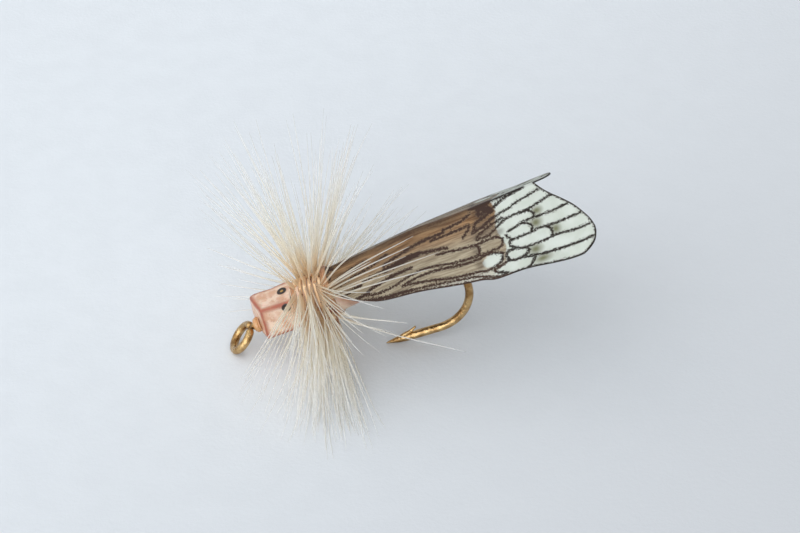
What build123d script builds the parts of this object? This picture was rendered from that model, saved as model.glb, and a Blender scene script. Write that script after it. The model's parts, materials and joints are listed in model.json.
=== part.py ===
from build123d import *
import math
import os
import random

# A tent-winged dry fly on a size 12 down-eye hook, in millimetres.
# Everything is drawn in the hook's own frame first: the shank runs along +X from the eye to the
# bend, +Z is the side away from the point, and the shank's front end is the origin.
# The finished pieces are then tipped up and lifted so that the fly stands on its eye and its point.

# hook
WIRE = 0.47
WIRE_R = WIRE / 2
SHANK = 10.2
BEND_R = 2.49
SPEAR = 3.3
SPEAR_RISE = 5.8          # degrees that the point closes towards the shank
EYE_ANGLE = 30.0          # degrees that the eye turns down
EYE_R = 0.82              # eye ring, to the middle of its wire
EYE_BORE_R = 0.6          # the smooth land inside the eye
POINT_LENGTH = 1.5
POINT_TIP_R = 0.03
BARB_FROM_TIP = 1.0
BARB_LENGTH = 0.95
BARB_HEIGHT = 0.24
BARB_WIDTH = 0.2

# thread on the bare shank
THREAD_FROM = 0.22
THREAD_TO = 9.9
THREAD_R = 0.31
SNUG = 0.005              # gap between two pieces that are wound on each other
THREAD_BORE_R = WIRE_R + SNUG

# body, wound on the shank: (distance along the shank, radius, height of its middle)
UNDERBODY = [(1.25, 0.5, 0.1), (2.0, 0.72, 0.3), (3.2, 0.85, 0.32), (4.6, 0.95, 0.25),
             (6.0, 0.85, 0.18), (7.6, 0.6, 0.06), (9.7, 0.38, 0.0)]
FILM = 0.1
SLEEVE_R = 1.3
SLEEVE_FROM = 3.15
SLEEVE_TOP_TO = 5.75
SLEEVE_POINT_TO = 7.05
SLEEVE_HEIGHT = 0.2       # height of the collar's middle over the shank

# bands of thread over the body sleeve
BAND_R = 1.48
FRONT_BAND = (3.17, 3.4)
LASHING_BAND = (5.22, 5.55)
LASHING_R = 1.78

# hackle
STEM_R = 0.11
TURNS = 5
TURN_PITCH = 0.31
COIL_FROM = 3.52
COIL_R = SLEEVE_R + STEM_R + SNUG
BARBS_PER_TURN = 38
BARB_R = 0.04
BARB_TIP_R = 0.01
BARB_SIDES = 6
BARB_REACH = 9.9
SHORTEST_SHARE = 0.86     # the shortest barb, as a share of the longest
LEAN_FRONT = -22.0        # degrees that the first turn's barbs lean towards the eye
LEAN_BACK = 22.0          # degrees that the last turn's barbs lean towards the bend
LEAN_SPREAD = 9.0         # degrees either way
SIDE_ANGLE = 97.0         # barbs further down than this are pressed up by the ground
LOWEST_ANGLE = 112.0
PRESSED_LEAN = 0.45       # share of its lean that a pressed barb keeps
TIP_CLEARANCE = 0.05
HALF_WIDTH = 10.6         # the tips are trimmed to this distance from the hook's plane

# head, a box folded from film
HEAD_FRONT_LOW = 0.66
HEAD_FRONT_HIGH = 1.08
HEAD_REAR = 3.12
HEAD_LOW = -0.6
HEAD_HIGH_FRONT = 1.46
HEAD_HIGH_REAR = 1.4
HEAD_LOW_REAR = -0.62
HEAD_HALF_FRONT = 0.94
HEAD_HALF_REAR = 1.02

# thread finish between the head and the eye
WHIP = (0.24, 0.58)
WHIP_R = 0.42
CEMENT_R = 0.49
CEMENT_LAP = 0.03         # how far the varnish runs past the winding in front
CEMENT_SLOPE = 0.08

# wing: one film folded along its middle like a tent
WING_FILM = 0.12
HALF_SPACE = 80.0         # side of a box that holds more than the whole fly
RIDGE_FROM = 5.2
RIDGE_HEIGHT = 1.84       # at the wing's front end
RIDGE_RISE = 1.6          # degrees against the shank
ROOF_NEAR = 32.5          # degrees below level
ROOF_FAR = 33.5
ROOT_WIDTH = 0.85
NOTCH = (18.9, 0.0)
# (distance along the shank, distance from the ridge within the film)
LEADING_EDGE = [(6.2, 2.05), (8.4, 3.2), (11.5, 4.15), (15.0, 4.8)]
NEAR_TIP = [(18.6, 5.25), (20.5, 5.2), (21.5, 4.2), (21.2, 2.9), (20.2, 1.55)]
FAR_TIP = [(17.6, 4.95), (19.2, 4.5), (19.9, 3.3), (19.85, 2.2), (19.5, 1.1)]


def along_eye(distance):
    """A point this far from the shank's end along the eye's own direction."""
    turn = math.radians(EYE_ANGLE)
    return Vector(-distance * math.cos(turn), 0, -distance * math.sin(turn))


def bend_point(turn):
    """A point of the bend's middle line, turn degrees round from the shank."""
    a = math.radians(turn)
    return Vector(SHANK + BEND_R * math.sin(a), 0, -BEND_R + BEND_R * math.cos(a))


def heading(turn):
    a = math.radians(turn)
    return Vector(math.cos(a), 0, -math.sin(a))


EYE_MIDDLE = along_eye(EYE_R + WIRE / 4)
BEND_TURN = 180 + SPEAR_RISE
SPEAR_START = bend_point(BEND_TURN)
SPEAR_WAY = heading(BEND_TURN)
TIP = SPEAR_START + SPEAR_WAY * SPEAR


def standing_pitch():
    """The angle that puts the eye's underside and the point on one level."""
    low = along_eye(EYE_R + WIRE / 4 + EYE_R)
    run = TIP.X - low.X
    rise = TIP.Z - low.Z
    gap = POINT_TIP_R - WIRE_R
    reach = math.sqrt(run**2 + rise**2 - gap**2)
    return math.degrees(math.atan2(gap, reach) - math.atan2(rise, run))


PITCH = standing_pitch()


def level(point):
    """A hook-frame point's height once the fly is tipped up, before it is lifted."""
    a = math.radians(PITCH)
    return point.X * math.sin(a) + point.Z * math.cos(a)


LIFT = POINT_TIP_R - level(TIP)
STAND = Location((0, 0, LIFT)) * Location((0, 0, 0), (0, -PITCH, 0))


def tube(start, end, outer, inner, height=0.0):
    """A straight sleeve round the shank line, its middle at this height."""
    at = Location(Plane(origin=(start, 0, height), z_dir=(1, 0, 0)).location)
    sleeve = Cylinder(outer, end - start, align=(Align.CENTER, Align.CENTER, Align.MIN))
    sleeve -= Cylinder(inner, end - start, align=(Align.CENTER, Align.CENTER, Align.MIN))
    return at * sleeve


def hook():
    shank = Line((0, 0, 0), (SHANK, 0, 0))
    bend = ThreePointArc(bend_point(0), bend_point(BEND_TURN / 2), SPEAR_START)
    taper_start = TIP - SPEAR_WAY * POINT_LENGTH
    spear = Line(SPEAR_START, taper_start)
    section = Plane(origin=(0, 0, 0), z_dir=(1, 0, 0)) * Circle(WIRE_R)
    wire = sweep(section, path=Wire([*shank.edges(), *bend.edges(), *spear.edges()]))
    point = Plane(origin=taper_start, z_dir=SPEAR_WAY) * Cone(
        WIRE_R, POINT_TIP_R, POINT_LENGTH, align=(Align.CENTER, Align.CENTER, Align.MIN))
    body = wire + point + hook_barb()
    turn = math.radians(EYE_ANGLE)
    ring_plane = Plane(origin=EYE_MIDDLE, x_dir=(0, 1, 0), z_dir=(-math.sin(turn), 0, math.cos(turn)))
    ring = ring_plane * Torus(EYE_R, WIRE_R)
    body = body + ring + Sphere(WIRE_R)
    return body - ring_plane * Cylinder(EYE_BORE_R, 2 * WIRE)


def hook_barb():
    """A sliver raised from the spear's inner side, its tip towards the bend."""
    inward = Vector(-SPEAR_WAY.Z, 0, SPEAR_WAY.X) * -1
    low = TIP - SPEAR_WAY * BARB_FROM_TIP
    back = TIP - SPEAR_WAY * (BARB_FROM_TIP + BARB_LENGTH)
    corners = [low, low + inward * 0.1, back + inward * (WIRE_R + BARB_HEIGHT),
               back + SPEAR_WAY * 0.2 + inward * (WIRE_R - 0.03), back]
    face = make_face(Polyline(*corners, close=True))
    return extrude(face, amount=BARB_WIDTH / 2, dir=(0, 1, 0), both=True)


def underbody():
    sections = [Plane(origin=(x, 0, z), z_dir=(1, 0, 0)) * Circle(r) for x, r, z in UNDERBODY]
    bore = Plane(origin=(0, 0, 0), z_dir=(1, 0, 0)) * Cylinder(THREAD_R + SNUG, 3 * SHANK)
    return loft(sections) - bore


def body_sleeve():
    """Film wrapped round the body, cut slanting so that its underside runs back to a point."""
    sleeve = tube(SLEEVE_FROM, SLEEVE_POINT_TO, SLEEVE_R, SLEEVE_R - FILM, SLEEVE_HEIGHT)
    top = SLEEVE_HEIGHT + SLEEVE_R
    bottom = SLEEVE_HEIGHT - SLEEVE_R
    far = SLEEVE_POINT_TO + 1
    cut = Polyline((SLEEVE_POINT_TO, 0, bottom), (SLEEVE_TOP_TO, 0, top), (far, 0, top),
                   (far, 0, bottom), close=True)
    return sleeve - extrude(make_face(cut), amount=2 * SLEEVE_R, dir=(0, 1, 0), both=True)


def head_section(x_low, x_high, low, high, half, inset):
    """A rectangle across the head, its upper edge further back than its lower one."""
    lean = (x_high - x_low) / (high - low)
    low, high, half = low + inset, high - inset, half - inset
    corners = [(x_low + lean * inset, -half, low), (x_low + lean * inset, half, low),
               (x_high - lean * inset, half, high), (x_high - lean * inset, -half, high)]
    return Wire.make_polygon([Vector(*c) for c in corners])


def head_shape(inset, front_inset, overrun):
    front = head_section(HEAD_FRONT_LOW + front_inset, HEAD_FRONT_HIGH + front_inset,
                         HEAD_LOW, HEAD_HIGH_FRONT, HEAD_HALF_FRONT, inset)
    rear = head_section(HEAD_REAR + overrun, HEAD_REAR + overrun,
                        HEAD_LOW_REAR, HEAD_HIGH_REAR, HEAD_HALF_REAR, inset)
    return Solid.make_loft([front, rear], ruled=True)


def head():
    """A folded box of film, closed in front round the shank and open behind."""
    shell = Part() + head_shape(0, 0, 0) - head_shape(FILM, FILM, FILM)
    hole = Plane(origin=(0, 0, 0), z_dir=(1, 0, 0)) * Cylinder(THREAD_R + 2 * SNUG, 2 * HEAD_REAR)
    return shell - hole


def cement():
    """A bead of varnish over the whip finish."""
    start, end = WHIP
    profile = Polyline((start - CEMENT_LAP, WHIP_R + SNUG), (start + CEMENT_SLOPE, CEMENT_R),
                       (end - CEMENT_SLOPE, CEMENT_R), (end, WHIP_R + SNUG), close=True)
    face = Plane.XY * make_face(profile)
    return revolve(face, axis=Axis.X)


def ridge_plane(roof, side):
    """The plane of one wing half: x runs along the ridge and y down the roof."""
    rise = math.radians(RIDGE_RISE)
    along = Vector(math.cos(rise), 0, math.sin(rise))
    up = Vector(-math.sin(rise), 0, math.cos(rise))
    down = Vector(0, side * math.cos(math.radians(roof)), 0) - up * math.sin(math.radians(roof))
    return Plane(origin=(RIDGE_FROM, 0, RIDGE_HEIGHT), x_dir=along, z_dir=along.cross(down))


def wing_half(roof, side, tip):
    """One half of the wing, trimmed at the fold."""
    edge = [(RIDGE_FROM, ROOT_WIDTH), *LEADING_EDGE, *tip, NOTCH]
    edge = [(x - RIDGE_FROM, y) for x, y in edge]
    past_fold = 2 * WING_FILM
    margin = Spline(*edge)
    notch_x = edge[-1][0]
    closing = Polyline(edge[-1], (notch_x, -past_fold), (0, -past_fold), edge[0])
    outline = make_face(Wire([*margin.edges(), *closing.edges()]))
    plane = ridge_plane(roof, side)
    outward = WING_FILM if plane.z_dir.Z > 0 else -WING_FILM
    plate = extrude(plane * outline, amount=outward, dir=plane.z_dir)
    across = Align.MIN if side > 0 else Align.MAX
    keep = Box(HALF_SPACE, HALF_SPACE, HALF_SPACE, align=(Align.CENTER, across, Align.CENTER))
    return plate & keep


def wing():
    return wing_half(ROOF_NEAR, -1, NEAR_TIP) + wing_half(ROOF_FAR, 1, FAR_TIP)


def hackle_stem():
    """The quill, wound side by side over the body sleeve."""
    coil = Helix(TURN_PITCH, TURNS * TURN_PITCH, COIL_R)
    start = coil @ 0
    section = Plane(origin=start, z_dir=coil % 0) * Circle(STEM_R)
    wound = sweep(section, path=coil, is_frenet=True)
    turn_to_shank = Plane(origin=(COIL_FROM, 0, SLEEVE_HEIGHT), x_dir=(0, 0, 1), z_dir=(1, 0, 0))
    return turn_to_shank.location * wound


def pressed(angle):
    """How far the ground presses a barb up, from 0 to 1, for its angle from straight up."""
    fall = min(angle, 360 - angle)
    return max(0.0, (fall - SIDE_ANGLE) / (180 - SIDE_ANGLE))


def pressed_angle(angle):
    """Where a barb really points, in degrees from straight up, once the ground holds it up."""
    side = 1 if angle < 180 else -1
    fall = min(angle, 360 - angle, SIDE_ANGLE)
    return side * (fall + pressed(angle) * (LOWEST_ANGLE - SIDE_ANGLE))


def barb(root_angle, along_shank, lean, reach):
    """One straight tapered six-sided barb, from the quill outwards, already in the standing frame."""
    root = math.radians(root_angle)
    way_angle = math.radians(pressed_angle(root_angle))
    tilt = math.radians(lean * (1 - pressed(root_angle) * (1 - PRESSED_LEAN)))
    base_r = COIL_R + STEM_R
    base = Vector(along_shank, -base_r * math.sin(root), SLEEVE_HEIGHT + base_r * math.cos(root))
    way = Vector(math.sin(tilt), -math.sin(way_angle) * math.cos(tilt), math.cos(way_angle) * math.cos(tilt))
    room = HALF_WIDTH - abs(base.Y)
    if reach * abs(way.Y) > room:
        reach = room / abs(way.Y)
    start = (STAND * Location(base)).position
    end = (STAND * Location(base + way * reach)).position
    if end.Z < TIP_CLEARANCE:
        end = Vector(end.X, end.Y, TIP_CLEARANCE)
    way = (end - start).normalized()
    root_end = Plane(origin=start, z_dir=way) * RegularPolygon(BARB_R, BARB_SIDES)
    tip_end = Plane(origin=end, z_dir=way) * RegularPolygon(BARB_TIP_R, BARB_SIDES)
    return loft([root_end, tip_end], ruled=True)


def hackle_turn(turn):
    """The barbs of one turn of the quill."""
    pick = random.Random(turn)
    share = turn / (TURNS - 1)
    lean = LEAN_FRONT + (LEAN_BACK - LEAN_FRONT) * share
    barbs = []
    for step in range(BARBS_PER_TURN):
        angle = 360 * (step + 0.5) / BARBS_PER_TURN
        x = COIL_FROM + TURN_PITCH * (turn + angle / 360)
        barbs.append(barb(angle, x, lean + pick.uniform(-LEAN_SPREAD, LEAN_SPREAD),
                          BARB_REACH * pick.uniform(SHORTEST_SHARE, 1.0)))
    return Compound(barbs)


def build():
    lashing = tube(*LASHING_BAND, LASHING_R, SLEEVE_R + SNUG, SLEEVE_HEIGHT)
    nodes = {
        "hook": hook(),
        "thread_base": tube(THREAD_FROM, THREAD_TO, THREAD_R, THREAD_BORE_R),
        "underbody": underbody(),
        "body_sleeve": body_sleeve(),
        "wing": wing(),
        "wing_lashing": lashing - wing(),
        "hackle_stem": hackle_stem(),
        "hackle_tie_off": tube(*FRONT_BAND, BAND_R, SLEEVE_R + SNUG, SLEEVE_HEIGHT),
        "head": head(),
        "whip_finish": tube(*WHIP, WHIP_R, THREAD_R + SNUG),
        "head_cement": cement(),
    }
    nodes = {name: STAND * piece for name, piece in nodes.items()}
    for turn in range(TURNS):
        nodes[f"hackle_barbs_{turn + 1}"] = hackle_turn(turn)
    return nodes


nodes = build()
whole = Compound(list(nodes.values())).bounding_box()
centre = Location((-(whole.min.X + whole.max.X) / 2, 0, 0))
os.makedirs("parts", exist_ok=True)
for name, piece in nodes.items():
    export_step(centre * piece, f"parts/{name}.step")
eye = (centre * STAND * Location(EYE_MIDDLE)).position
print("pitch", round(PITCH, 3), "lift", round(LIFT, 4), "box", whole)
print("eye middle", eye, "shank front", (centre * STAND).position)
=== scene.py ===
import math
import random

import bpy
import numpy as np
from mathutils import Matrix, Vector, noise
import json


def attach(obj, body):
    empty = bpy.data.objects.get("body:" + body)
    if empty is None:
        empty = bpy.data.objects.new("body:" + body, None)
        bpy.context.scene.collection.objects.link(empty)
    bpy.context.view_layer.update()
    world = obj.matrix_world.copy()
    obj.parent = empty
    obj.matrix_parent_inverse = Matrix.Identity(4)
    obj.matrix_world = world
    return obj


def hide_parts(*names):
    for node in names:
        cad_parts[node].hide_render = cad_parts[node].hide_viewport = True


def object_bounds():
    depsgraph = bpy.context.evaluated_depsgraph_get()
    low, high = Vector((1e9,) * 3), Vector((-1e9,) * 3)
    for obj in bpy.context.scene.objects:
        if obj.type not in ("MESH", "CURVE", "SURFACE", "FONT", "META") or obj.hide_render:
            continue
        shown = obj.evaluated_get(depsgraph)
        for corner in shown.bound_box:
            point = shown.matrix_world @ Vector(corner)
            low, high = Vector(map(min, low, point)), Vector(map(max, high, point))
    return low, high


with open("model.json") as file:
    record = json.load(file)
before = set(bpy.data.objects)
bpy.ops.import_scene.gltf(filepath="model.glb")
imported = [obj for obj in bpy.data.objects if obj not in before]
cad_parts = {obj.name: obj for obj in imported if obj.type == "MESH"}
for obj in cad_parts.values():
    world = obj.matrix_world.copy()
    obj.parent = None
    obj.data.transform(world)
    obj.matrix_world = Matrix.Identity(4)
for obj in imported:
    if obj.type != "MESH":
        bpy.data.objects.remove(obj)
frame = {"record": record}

cad_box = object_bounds()

# A dry fly with a folded film wing and a wound hackle. Lengths are millimetres in the hook's own frame,
# until placed() turns them into metres in the row frame: x runs from the eye to the bend, y to the far
# side, and z away from the point. The near side, which the camera sees, has negative y.
MM = 0.001

# hook, as in the CAD
WIRE_R = 0.235
SHANK = 10.2
BEND_R = 2.49
SPEAR = 3.3
SPEAR_RISE = 5.8          # degrees by which the spear closes the gap
EYE_ANGLE = 30.0          # degrees by which the eye is turned down
EYE_R = 0.82
POINT_LENGTH = 1.5
POINT_R = 0.02

# the hook's looks
PLATED_R = 0.25           # the wire with its plating
RING_R = 0.84             # the eye ring's middle line and its wire, a little flattened
RING_WIRE_R = 0.24
RING_ARC = (7, 352)       # degrees round the ring, whose end nearly meets the shank
BARB_LINE = [(0.95, 0.08), (1.25, 0.22), (1.6, 0.34), (1.98, 0.56)]    # back from the tip, in to the gap
BARB_R = (0.17, 0.06)     # the barb's radius at its root and at its end

# thread and varnish, along the shank
THREAD_R = 0.036
THREAD_BASE = (0.3, 9.85)
WHIP = (0.26, 0.6)
FRONT_TIE = (3.19, 3.42)
LASHING = (5.24, 5.56)
VARNISH = (0.2, 0.62)

# collar and body
COLLAR_Z = 0.2            # height of the body's and the collar's middle line
SLEEVE_R = 1.3
SLEEVE_FILM = 0.08
SLEEVE_FROM = 3.15
SLEEVE_TO = 5.75
SLEEVE_POINT = 1.35       # how much longer the body film is under the body
STEM_R = 0.11
COIL_R = SLEEVE_R + STEM_R + 0.005
COIL_FROM = 3.52
TURNS = 5
TURN_PITCH = 0.31
COIL_TO = COIL_FROM + TURNS * TURN_PITCH

# wing
RIDGE_FROM = 5.2
RIDGE_HEIGHT = 1.84
RIDGE_RISE = 1.6          # degrees above the shank's line
RIDGE_HUMP = (11.0, 2.3, 0.2)    # where the ridge bows up, how widely and how much
ROOF_NEAR = 32.5          # degrees below level
ROOF_FAR = 34.3
FOLD_R = 0.22
NOTCH_AT = 18.9
WING_FILM = 0.08

eye_mount = frame["record"]["mounts"][0]
eye_axis = Vector(eye_mount["axis"])
PITCH = math.atan2(-eye_axis.x, eye_axis.z) - math.radians(EYE_ANGLE)
ALONG = Vector((math.cos(PITCH), 0, math.sin(PITCH)))
AWAY = Vector((-math.sin(PITCH), 0, math.cos(PITCH)))
eye_turn = math.radians(EYE_ANGLE)
EYE_WAY = -(ALONG * math.cos(eye_turn) + AWAY * math.sin(eye_turn))
EYE_MIDDLE = Vector(eye_mount["pos_m"])
SHANK_FRONT = EYE_MIDDLE - EYE_WAY * (EYE_R + WIRE_R / 2) * MM
BASIS = np.array([ALONG, (0, 1, 0), AWAY])


def placed(points):
    """Hook-frame points in millimetres, as row-frame points in metres."""
    return np.array(SHANK_FRONT) + np.asarray(points, float) @ BASIS * MM


def smooth_curve(points, count):
    """A Catmull-Rom curve through the points, sampled evenly along its parameter."""
    p = np.asarray(points, float)
    p = np.vstack([2 * p[0] - p[1], p, 2 * p[-1] - p[-2]])
    u = np.linspace(0, len(p) - 3 - 1e-9, count)
    i = u.astype(int)
    f = (u - i)[:, None]
    a, b, c, d = p[i], p[i + 1], p[i + 2], p[i + 3]
    return 0.5 * (2 * b + (c - a) * f + (2 * a - 5 * b + 4 * c - d) * f**2
                  + (3 * b - a - 3 * c + d) * f**3)


# ---------------------------------------------------------------- materials

class Shader:
    """A material's node tree, with short calls that add a node and return its output."""

    def __init__(self, name):
        self.material = bpy.data.materials.new(name)
        self.material.use_nodes = True
        self.tree = self.material.node_tree
        self.tree.nodes.clear()
        self.out = self.tree.nodes.new("ShaderNodeOutputMaterial")

    def join(self, value, socket):
        """Link an output to the socket, or set the socket to a constant."""
        if isinstance(value, bpy.types.NodeSocket):
            self.tree.links.new(value, socket)
        else:
            socket.default_value = value

    def node(self, kind, settings=None, **inputs):
        made = self.tree.nodes.new(kind)
        for key, value in (settings or {}).items():
            setattr(made, key, value)
        for key, value in inputs.items():
            self.join(value, made.inputs[key.replace("_", " ")])
        return made

    def fed(self, kind, settings, *values, first=0):
        """A node whose inputs are filled in order, from the one numbered first."""
        made = self.node(kind, settings)
        for number, value in enumerate(values, first):
            self.join(value, made.inputs[number])
        return made

    def attribute(self, name, output="Fac"):
        return self.node("ShaderNodeAttribute", {"attribute_name": name}).outputs[output]

    def maths(self, operation, a, b):
        return self.fed("ShaderNodeMath", {"operation": operation}, a, b).outputs[0]

    def ramp(self, value, low, high, to_low=0.0, to_high=1.0):
        """A smooth step of the value from low to high."""
        made = self.node("ShaderNodeMapRange", {"interpolation_type": "SMOOTHSTEP"}, Value=value,
                         From_Min=low, From_Max=high, To_Min=to_low, To_Max=to_high)
        return made.outputs[0]

    def mix(self, share, a, b):
        """Colour a, with the given share of colour b."""
        made = self.fed("ShaderNodeMix", {"data_type": "RGBA"}, a, b, first=6)
        self.join(share, made.inputs[0])
        return made.outputs[2]

    def noise(self, vector, scale, detail=4.0, roughness=0.55):
        return self.node("ShaderNodeTexNoise", None, Vector=vector, Scale=scale, Detail=detail,
                         Roughness=roughness).outputs[0]

    def object_mm(self):
        """Object coordinates in millimetres."""
        place = self.node("ShaderNodeTexCoord").outputs["Object"]
        made = self.fed("ShaderNodeVectorMath", {"operation": "SCALE"}, place)
        made.inputs["Scale"].default_value = 1 / MM
        return made.outputs[0]

    def bump(self, height, strength, distance_mm):
        return self.node("ShaderNodeBump", None, Height=height, Strength=strength,
                         Distance=distance_mm * MM).outputs[0]

    def surface(self, **inputs):
        return self.node("ShaderNodeBsdfPrincipled", None, **inputs).outputs[0]

    def translucent(self, colour):
        return self.node("ShaderNodeBsdfTranslucent", None, Color=colour).outputs[0]

    def blend(self, share, a, b):
        """Surface a, with the given share of surface b."""
        return self.fed("ShaderNodeMixShader", None, share, a, b).outputs[0]

    def done(self, surface):
        self.tree.links.new(surface, self.out.inputs["Surface"])
        return self.material


def rgb(red, green, blue):
    """A display colour from 0 to 255, as the linear colour that a shader takes."""
    linear = [c / 12.92 if c <= 0.04045 else ((c + 0.055) / 1.055) ** 2.4
              for c in (red / 255, green / 255, blue / 255)]
    return (*linear, 1.0)


def wire_material():
    s = Shader("plated wire")
    place = s.object_mm()
    cloud = s.noise(place, 1.6)
    fine = s.noise(place, 22.0)
    colour = s.mix(s.ramp(cloud, 0.35, 0.65), rgb(212, 178, 126), rgb(158, 120, 74))
    # painted reflection: dark flecks in the base colour stand in for the dark surroundings that the
    # plated wire reflects
    colour = s.mix(s.ramp(fine, 0.6, 0.74), colour, rgb(84, 60, 38))
    rough = s.ramp(fine, 0.3, 0.7, 0.08, 0.2)
    relief = s.bump(s.noise(place, 4.0), 0.8, 0.09)
    return s.done(s.surface(Base_Color=colour, Metallic=1.0, Roughness=rough, Normal=relief))


def thread_material():
    s = Shader("tying thread")
    twist = s.noise(s.object_mm(), 14.0)
    colour = s.mix(twist, rgb(170, 116, 78), rgb(220, 170, 126))
    return s.done(s.surface(Base_Color=colour, Roughness=0.55, Sheen_Weight=0.3,
                            Normal=s.bump(twist, 0.5, 0.02)))


def cement_material():
    s = Shader("varnish")
    cloud = s.noise(s.object_mm(), 3.0)
    colour = s.mix(cloud, rgb(186, 132, 82), rgb(206, 162, 112))
    return s.done(s.surface(Base_Color=colour, Roughness=0.12, Coat_Weight=0.6, Coat_Roughness=0.05,
                            Subsurface_Weight=0.2, Subsurface_Scale=0.3 * MM,
                            Normal=s.bump(cloud, 0.3, 0.05)))


def yarn_material():
    s = Shader("dubbed yarn")
    place = s.object_mm()
    fibre = s.noise(place, 9.0)
    colour = s.mix(fibre, rgb(140, 108, 80), rgb(196, 166, 134))
    return s.done(s.surface(Base_Color=colour, Roughness=0.9, Sheen_Weight=0.6,
                            Normal=s.bump(fibre, 0.8, 0.05)))


def printed_film_material(name, light, warm, edge_colour):
    """Film printed in flesh tones; the edge attribute marks its folds, eye marks the eyes."""
    s = Shader(name)
    place = s.object_mm()
    cloud = s.noise(place, 1.7, 5.0)
    fine = s.noise(place, 11.0)
    colour = s.mix(s.ramp(cloud, 0.38, 0.62), light, warm)
    colour = s.mix(s.ramp(fine, 0.56, 0.72, 0.0, 0.45), colour, rgb(150, 98, 74))
    edge = s.maths("ADD", s.attribute("edge"), s.maths("MULTIPLY", cloud, 0.4))
    colour = s.mix(s.ramp(edge, 0.54, 0.22, 0.0, 0.95), colour, edge_colour)
    eye = s.attribute("eye")
    colour = s.mix(s.ramp(eye, 0.30, 0.24), colour, rgb(34, 24, 20))
    colour = s.mix(s.ramp(eye, 0.12, 0.07), colour, rgb(176, 134, 70))
    body = s.surface(Base_Color=colour, Roughness=0.42, Subsurface_Weight=0.15,
                     Subsurface_Scale=0.4 * MM, Normal=s.bump(fine, 0.35, 0.02))
    return s.done(body)


def quill_material():
    s = Shader("quill")
    place = s.object_mm()
    cloud = s.noise(place, 4.0)
    colour = s.mix(cloud, rgb(230, 186, 138), rgb(250, 224, 188))
    return s.done(s.surface(Base_Color=colour, Roughness=0.5, Normal=s.bump(cloud, 0.3, 0.02)))


def barb_material():
    """Feather barbs: tan at the quill, cream along most of their length and paler at the tips."""
    s = Shader("feather barbs")
    along = s.attribute("along")
    colour = s.mix(s.ramp(along, 0.0, 0.3), rgb(247, 222, 182), rgb(254, 249, 236))
    colour = s.mix(s.ramp(along, 0.3, 0.8), colour, rgb(255, 254, 251))
    colour = s.mix(s.ramp(s.attribute("shade"), 0.0, 1.0, 0.0, 0.2), colour, rgb(250, 238, 214))
    band = s.noise(s.object_mm(), 6.0)
    colour = s.mix(s.maths("MULTIPLY", band, 0.04), colour, rgb(220, 190, 150))
    hair = s.surface(Base_Color=colour, Roughness=0.45, Sheen_Weight=0.9, Sheen_Roughness=0.4,
                     Normal=s.bump(band, 0.2, 0.01))
    clear = s.node("ShaderNodeBsdfTransparent").outputs[0]
    return s.done(s.blend(0.5, s.blend(0.55, hair, s.translucent(colour)), clear))


def fleck_material():
    s = Shader("dark flecks")
    cloud = s.noise(s.object_mm(), 8.0)
    colour = s.mix(cloud, rgb(104, 52, 28), rgb(164, 96, 56))
    return s.done(s.surface(Base_Color=colour, Roughness=0.5, Normal=s.bump(cloud, 0.3, 0.01)))


def wing_material():
    """Printed film: brown streaks in front, pale cells outlined in dark brown behind."""
    s = Shader("wing film")
    flat = s.attribute("flat", "Vector")
    ink, pale, shade = s.attribute("ink"), s.attribute("pale"), s.attribute("shade")
    moss, rise = s.attribute("moss"), s.attribute("rise")
    ragged = s.noise(flat, 6.5, 3.0, 0.7)
    fine = s.noise(flat, 10.0, 3.0, 0.7)
    broad = s.noise(flat, 0.9, 3.0, 0.5)
    stretched = s.fed("ShaderNodeVectorMath", {"operation": "MULTIPLY"}, flat, (0.22, 2.4, 1.0))
    streak = s.noise(stretched.outputs[0], 3.2, 4.0, 0.6)
    upper = s.mix(s.ramp(streak, 0.3, 0.7), rgb(116, 78, 46), rgb(190, 152, 108))
    lower = s.mix(s.ramp(streak, 0.3, 0.7), rgb(146, 131, 108), rgb(200, 187, 161))
    brown = s.mix(s.ramp(rise, 0.15, 0.45), upper, lower)
    brown = s.mix(s.ramp(broad, 0.35, 0.7, 0.0, 0.3), brown, rgb(138, 114, 88))
    brown = s.mix(s.ramp(rise, 0.74, 0.86), brown, rgb(206, 202, 188))
    white = s.mix(s.ramp(broad, 0.3, 0.7), rgb(224, 228, 220), rgb(211, 216, 205))
    white = s.mix(s.maths("MULTIPLY", moss, 0.95), white, rgb(122, 122, 88))
    turn = s.maths("ADD", pale, s.maths("MULTIPLY", s.maths("SUBTRACT", ragged, 0.5), 0.3))
    colour = s.mix(s.ramp(turn, -0.06, 0.06), brown, white)
    deep = s.maths("MULTIPLY", shade, s.ramp(ragged, 0.2, 0.7, 0.7, 1.0))
    colour = s.mix(deep, colour, rgb(66, 46, 36))
    wander = s.maths("MULTIPLY", s.maths("SUBTRACT", ragged, 0.5), 0.22)
    grit = s.maths("MULTIPLY", s.maths("SUBTRACT", fine, 0.5), 0.45)
    edge = s.maths("ADD", ink, s.maths("ADD", wander, grit))
    line = s.mix(s.ramp(pale, -0.1, 0.1), rgb(66, 44, 34), rgb(44, 36, 30))
    colour = s.mix(s.ramp(edge, 0.07, 0.0, 0.0, 0.55), colour, rgb(120, 108, 92))
    colour = s.mix(s.ramp(edge, 0.034, -0.012), colour, line)
    height = s.maths("ADD", s.ramp(ink, 0.06, -0.02), s.maths("MULTIPLY", fine, 0.4))
    film = s.surface(Base_Color=colour, Roughness=0.5, Specular_IOR_Level=0.3,
                     Normal=s.bump(height, 0.35, 0.02))
    return s.done(s.blend(0.3, film, s.translucent(colour)))


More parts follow.
